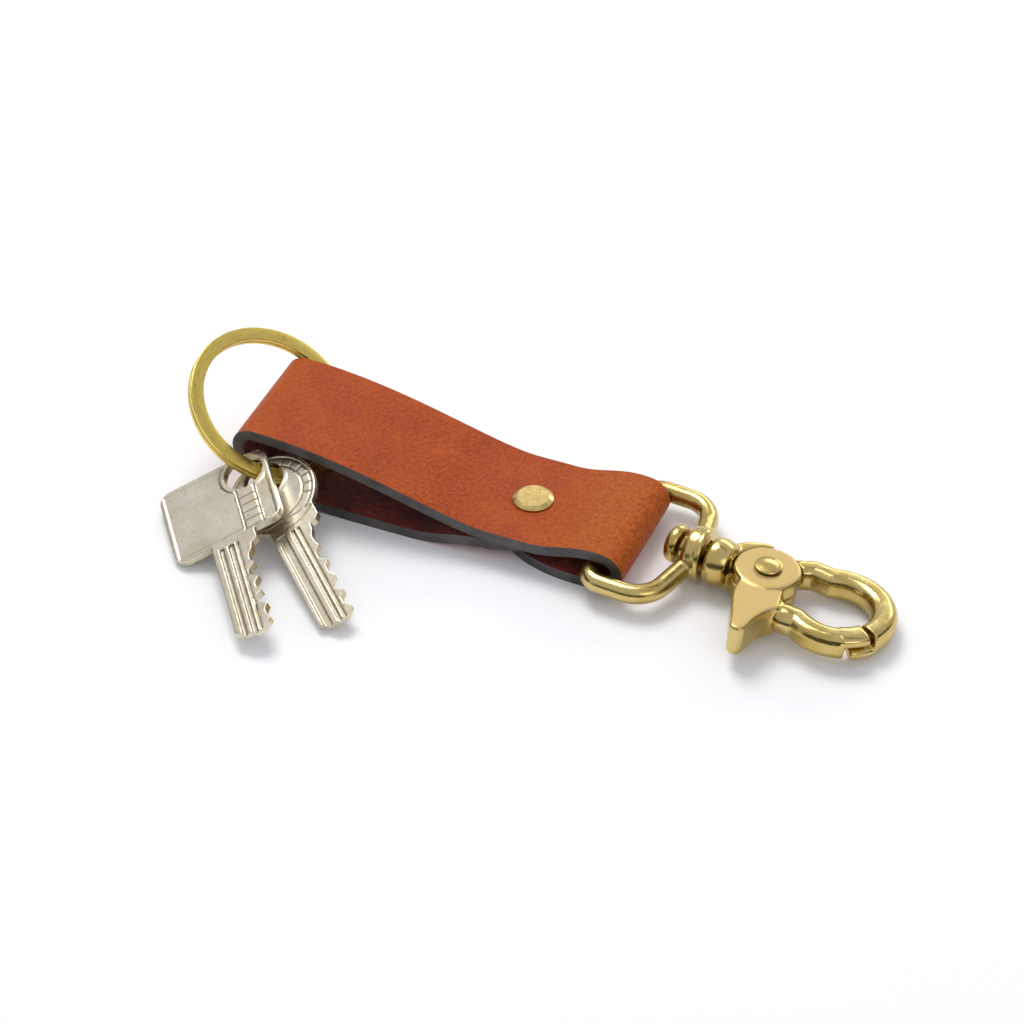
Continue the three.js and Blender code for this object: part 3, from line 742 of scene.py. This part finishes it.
for vertex in ring.data.vertices:
    share = level[round(vertex.co.z, 2)] / (len(rounds) - 1)
    n = round(math.atan2(vertex.co.y, vertex.co.x) / (2 * math.pi) * len(wire_section))
    reach, high = wire_section[n % len(wire_section)]
    a = turns * share
    climb = min(1, max(0, (a - (2 * math.pi - ramp_angle)) / ramp_angle))
    along_of[vertex.index] = (a * wire_circle / mm, (reach + high) / mm)
    vertex.co = (
        (wire_circle + reach) * math.cos(a),
        (wire_circle + reach) * math.sin(a),
        (coil + coil_gap) * (climb - 0.5) + high,
    )
for corner_loop in ring.data.loops:
    wire_map.data[corner_loop.index].uv = along_of[corner_loop.vertex_index]
ring.data.transform(ring_axes)
bpy.ops.object.mode_set(mode="EDIT")
bpy.ops.mesh.select_all(action="SELECT")
bpy.ops.mesh.normals_make_consistent(inside=False)
bpy.ops.object.mode_set(mode="OBJECT")
bpy.ops.object.shade_smooth_by_angle(angle=math.radians(40))

# Rolled brass wire: more yellow than the castings, with long brushed lines and dull edges.
wire_brass, tree = begin("brushed_brass_wire")
uv = add(tree, "UVMap", uv_map=wire_map.name).outputs["UV"]
brushed = add(tree, "Mapping", {"Vector": uv, "Scale": (0.12, 7.0, 1.0)}).outputs["Vector"]
lines = add(tree, "TexNoise", {"Vector": brushed, "Scale": 2.2, "Detail": 6.0, "Roughness": 0.7})
place = add(tree, "TexCoord").outputs["Object"]
nicks = add(
    tree, "TexNoise", {"Vector": place, "Scale": 0.42 / mm, "Detail": 6.0, "Roughness": 0.7}
)
tone = add(
    tree,
    "ValToRGB",
    {"Fac": lines.outputs["Fac"]},
    stops=((0.3, "D2B24C"), (0.5, "E0C664"), (0.72, "EFDC94")),
).outputs["Color"]
dirt = add(
    tree, "ValToRGB", {"Fac": nicks.outputs["Fac"]}, stops=((0.3, "A98C48"), (0.42, "FFFFFF"))
).outputs["Color"]
tone = add(
    tree, "MixRGB", {"Fac": 0.3, "Color1": tone, "Color2": dirt}, blend_type="MULTIPLY"
).outputs["Color"]
rough = add(
    tree,
    "MapRange",
    {"Value": lines.outputs["Fac"], "From Min": 0.3, "From Max": 0.7, "To Min": 0.2, "To Max": 0.4},
).outputs["Result"]
bump = add(
    tree, "Bump", {"Height": lines.outputs["Fac"], "Strength": 0.35, "Distance": 0.06 * mm}
)
shader = add(
    tree,
    "BsdfPrincipled",
    {"Base Color": tone, "Metallic": 1.0, "Roughness": rough, "Normal": bump.outputs["Normal"]},
)
add(tree, "OutputMaterial", {"Surface": shader.outputs["BSDF"]})
ring.data.materials.append(wire_brass)
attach(ring, "ring")
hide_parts("split_ring")


# ---- Keys ----
# Blanks stamped from nickel silver strip: the die presses the bow's rim and ornament, a cutter
# mills the long grooves, and the cuts on one edge are ground last and stay bright.


def step(value, edge, soft):
    """0 below the edge and 1 above it, with a soft wall this wide."""
    return np.clip((value - edge) / soft + 0.5, 0, 1)


def press(piece, place, depth_at):
    """Presses a key's upper face by depth_at(x, y) millimetres, as the die does."""
    middle_height = 0.45
    points, _ = local_of(piece, place)
    upper_face = points[:, 2] > middle_height
    points[:, 2] -= depth_at(points[:, 0], points[:, 1]) * upper_face
    turned = np.array(place)
    moved = (points * mm) @ turned[:3, :3].T + turned[:3, 3]
    piece.data.vertices.foreach_set("co", moved.ravel())
    piece.data.update()
    return points


square_place = Matrix.Translation((-55.446 * mm, 1.4384 * mm, 8.7849 * mm)) @ Euler(
    (math.radians(24.6), math.radians(2.8), math.radians(-52.8))
).to_matrix().to_4x4()
square_key = cast(
    "key_square", "key_square_blank", "square_key", 0.15, 2, 0.06
)


def square_relief(x, y):
    """A raised rim round a sunk field, and a plain ladder of lines from the hole to the blade."""
    rim = 1.0
    inside = np.minimum.reduce([x + 4.5, 15.3 - x, y + 17.8, 5.2 - y])
    field = step(inside, rim, 0.3) * 0.16
    hole = np.hypot(x, y)
    field *= step(hole, 5.1, 0.3)
    band = (y > -2.9) * (y < 1.5) * (x > 3.9) * (x < 15.0)
    rails = np.exp(-(((y + 2.6) / 0.16) ** 2)) + np.exp(-(((y - 1.2) / 0.16) ** 2))
    rungs = np.exp(-((((x - 5.2) % 2.1 - 1.05) / 0.14) ** 2)) * (y > -2.6) * (y < 1.2)
    rungs *= x > 5.2
    field = np.where(band, 0.04 + 0.2 * np.clip(rails + rungs, 0, 1), field)
    return field * (x < 15.2)


points = press(square_key, square_place, square_relief)
edge = step(points[:, 1], -3.4, 0.4) * step(points[:, 0], 19.0, 0.5)
normal = local_of(square_key, square_place)[1]
write_mark(square_key, "fresh_cut", edge * (np.abs(normal[:, 2]) < 0.6))

round_place = Matrix.Translation((-51.8535 * mm, 2.7908 * mm, 7.0628 * mm)) @ Euler(
    (math.radians(25.6), math.radians(6.62), math.radians(-43.18))
).to_matrix().to_4x4()
round_key = cast("key_round", "key_round_blank", "round_key", 0.14, 2, 0.05)


def round_relief(x, y):
    """A dish round the middle, two circles with ticks between them and a step at the neck."""
    away = np.hypot(x - 4.3, y)
    dish = np.clip(1 - (away / 6.1) ** 2, 0, 1) * 0.28
    dish *= step(np.hypot(x, y), 4.9, 0.4)
    lines = np.exp(-(((away - 6.5) / 0.16) ** 2)) + np.exp(-(((away - 8.3) / 0.16) ** 2))
    angle = np.arctan2(y, x - 4.3)
    ticks = np.exp(-((((angle * 11 / math.pi) % 1 - 0.5) / 0.09) ** 2))
    ticks = ticks * (away > 6.5) * (away < 8.3)
    ticks *= np.abs(angle) > 0.9
    neck = step(9.4 - np.hypot(x - 4.3, y), 0, 0.3) * step(x, 11.4, 0.3) * 0.14
    return (dish + 0.17 * np.clip(lines + ticks, 0, 1)) * (x < 11.4) + neck


points = press(round_key, round_place, round_relief)
edge = step(points[:, 1], 1.2, 0.4) * step(points[:, 0], 14.5, 0.5)
normal = local_of(round_key, round_place)[1]
write_mark(round_key, "fresh_cut", edge * (np.abs(normal[:, 2]) < 0.6) * 0.35)

# Nickel silver, tumbled after stamping: a warm grey, rougher in the pressed lines, which carry
# painted shade, with hairline scratches from a pocket and yellow brass showing in the fresh cuts.
nickel_silver, tree = begin("stamped_nickel_silver")
place = add(tree, "TexCoord").outputs["Object"]
tumbled = add(
    tree, "TexNoise", {"Vector": place, "Scale": 1.5 / mm, "Detail": 7.0, "Roughness": 0.7}
)
stains = add(
    tree, "TexNoise", {"Vector": place, "Scale": 0.16 / mm, "Detail": 5.0, "Roughness": 0.6}
)
# Hairlines lie about 0.4 mm apart and 17 mm long, all one way.
hairline_scale = (0.06 / mm, 2.4 / mm, 2.4 / mm)
tilted = add(
    tree, "Mapping", {"Vector": place, "Rotation": (0.3, 0.2, 0.9), "Scale": hairline_scale}
).outputs["Vector"]
hairlines = add(tree, "TexNoise", {"Vector": tilted, "Scale": 1.0, "Detail": 3.0})
tone = add(
    tree,
    "ValToRGB",
    {"Fac": stains.outputs["Fac"]},
    stops=((0.3, "D2C8AE"), (0.5, "E0D7C2"), (0.72, "EBE5D6")),
).outputs["Color"]
# The darker colour in the pressed lines and other hollows, found from the mesh's pointiness, is
# painted shade; the same mask also makes them rougher.
hollow = add(tree, "NewGeometry").outputs["Pointiness"]
hollow_shade_mask = add(
    tree,
    "MapRange",
    {"Value": hollow, "From Min": 0.495, "From Max": 0.46, "To Min": 0.0, "To Max": 0.75},
).outputs["Result"]
tone = add(
    tree, "MixRGB", {"Fac": hollow_shade_mask, "Color1": tone, "Color2": linear("6E6448")}
).outputs["Color"]
fresh = add(tree, "Attribute", attribute_name="fresh_cut").outputs["Fac"]
flecks = add(
    tree,
    "MapRange",
    {
        "Value": tumbled.outputs["Fac"],
        "From Min": 0.42,
        "From Max": 0.6,
        "To Min": 0.2,
        "To Max": 1.0,
    },
).outputs["Result"]
fresh = add(tree, "Math", {0: fresh, 1: flecks}, operation="MULTIPLY").outputs["Value"]
tone = add(
    tree, "MixRGB", {"Fac": fresh, "Color1": tone, "Color2": linear("D6AE5C")}
).outputs["Color"]
rough = add(
    tree,
    "MapRange",
    {
        "Value": tumbled.outputs["Fac"],
        "From Min": 0.3,
        "From Max": 0.7,
        "To Min": 0.24,
        "To Max": 0.42,
    },
).outputs["Result"]
rough = add(tree, "Math", {0: hollow_shade_mask, 1: 0.2, 2: rough}, operation="MULTIPLY_ADD").outputs["Value"]
bump = add(
    tree, "Bump", {"Height": tumbled.outputs["Fac"], "Strength": 0.22, "Distance": 0.04 * mm}
).outputs["Normal"]
bump = add(
    tree,
    "Bump",
    {"Height": hairlines.outputs["Fac"], "Strength": 0.1, "Distance": 0.02 * mm, "Normal": bump},
)
shader = add(
    tree,
    "BsdfPrincipled",
    {"Base Color": tone, "Metallic": 1.0, "Roughness": rough, "Normal": bump.outputs["Normal"]},
)
add(tree, "OutputMaterial", {"Surface": shader.outputs["BSDF"]})
for key in (square_key, round_key):
    key.data.materials.append(nickel_silver)


# ---- Floor, light and camera ----
# A white table under three soft boxes: a large one above and to the left, a fill from the right
# and one behind. Dark cards that only reflections see give the brass its dark lines.

bpy.ops.mesh.primitive_plane_add(size=6, location=(0, 0, 0))
floor = bpy.context.object
floor.name = "floor"
paper, tree = begin("matt_white_paper")
place = add(tree, "TexCoord").outputs["Object"]
tooth = add(tree, "TexNoise", {"Vector": place, "Scale": 0.9 / mm, "Detail": 3.0})
tone = add(
    tree, "ValToRGB", {"Fac": tooth.outputs["Fac"]}, stops=((0.0, "F4F4F6"), (1.0, "F8F8FA"))
).outputs["Color"]
shader = add(
    tree, "BsdfPrincipled", {"Base Color": tone, "Roughness": 0.9, "Specular IOR Level": 0.1}
)
add(tree, "OutputMaterial", {"Surface": shader.outputs["BSDF"]})
floor.data.materials.append(paper)

world = bpy.data.worlds.new("studio")
world.use_nodes = True
world.node_tree.nodes["Background"].inputs["Color"].default_value = linear("F3F5FA")
world.node_tree.nodes["Background"].inputs["Strength"].default_value = 0.68
bpy.context.scene.world = world

cards = (
    ("front_card", (0.1, -0.75, 0.16), (1.5, 0.34)),
    ("left_card", (-0.8, -0.1, 0.2), (1.0, 0.4)),
    ("right_card", (0.85, 0.3, 0.22), (0.9, 0.4)),
    ("top_card", (0.06, 0.34, 0.7), (0.7, 0.1)),
)
board, tree = begin("dark_board")
place = add(tree, "TexCoord").outputs["Object"]
tooth = add(tree, "TexNoise", {"Vector": place, "Scale": 0.03 / mm})
tone = add(
    tree, "ValToRGB", {"Fac": tooth.outputs["Fac"]}, stops=((0.3, "1D1A17"), (0.7, "2A2622"))
).outputs["Color"]
shader = add(tree, "BsdfPrincipled", {"Base Color": tone, "Roughness": 0.9})
add(tree, "OutputMaterial", {"Surface": shader.outputs["BSDF"]})
for name, position, size in cards:
    bpy.ops.mesh.primitive_plane_add(size=1, location=position)
    card = bpy.context.object
    card.name = name
    card.scale = (*size, 1)
    card.rotation_euler = (-Vector(position)).to_track_quat("Z", "Y").to_euler()
    card.visible_camera = card.visible_diffuse = card.visible_shadow = False
    card.data.materials.append(board)

lamps = (
    ("key_box", (-0.35, 0.35, 0.85), (0.45, 0.45), 5.2, "FFFDFA"),
    ("fill_box", (0.7, -0.5, 0.6), (0.5, 0.4), 0.9, "F4F7FF"),
    ("back_box", (0.1, 0.95, 0.4), (0.7, 0.25), 1.6, "FFFFFF"),
)
for name, position, size, power, colour in lamps:
    lamp = bpy.data.lights.new(name, "AREA")
    lamp.shape = "RECTANGLE"
    lamp.size, lamp.size_y = size
    lamp.energy = power
    lamp.color = linear(colour)[:3]
    holder = bpy.data.objects.new(name, lamp)
    holder.location = position
    holder.rotation_euler = (-Vector(position)).to_track_quat("-Z", "Y").to_euler()
    bpy.context.scene.collection.objects.link(holder)

lens = bpy.data.cameras.new("view")
lens.lens = 140
lens.sensor_width = 36
lens.clip_start = 0.01
lens.clip_end = 20
camera = bpy.data.objects.new("view", lens)
rise, swing = math.radians(40), math.radians(23.1377)
camera_distance = 0.7505255
back = Vector(
    (math.sin(swing) * math.cos(rise), -math.cos(swing) * math.cos(rise), math.sin(rise))
)
target = Vector((strap_offset.x, strap_offset.y - strap_width / 2, 13.5404 * mm))
camera.location = target + back * camera_distance
camera.rotation_mode = "QUATERNION"
camera.rotation_quaternion = (-back).to_track_quat("-Z", "Y")
bpy.context.scene.collection.objects.link(camera)
bpy.context.scene.camera = camera
bpy.context.scene.view_settings.view_transform = "Standard"
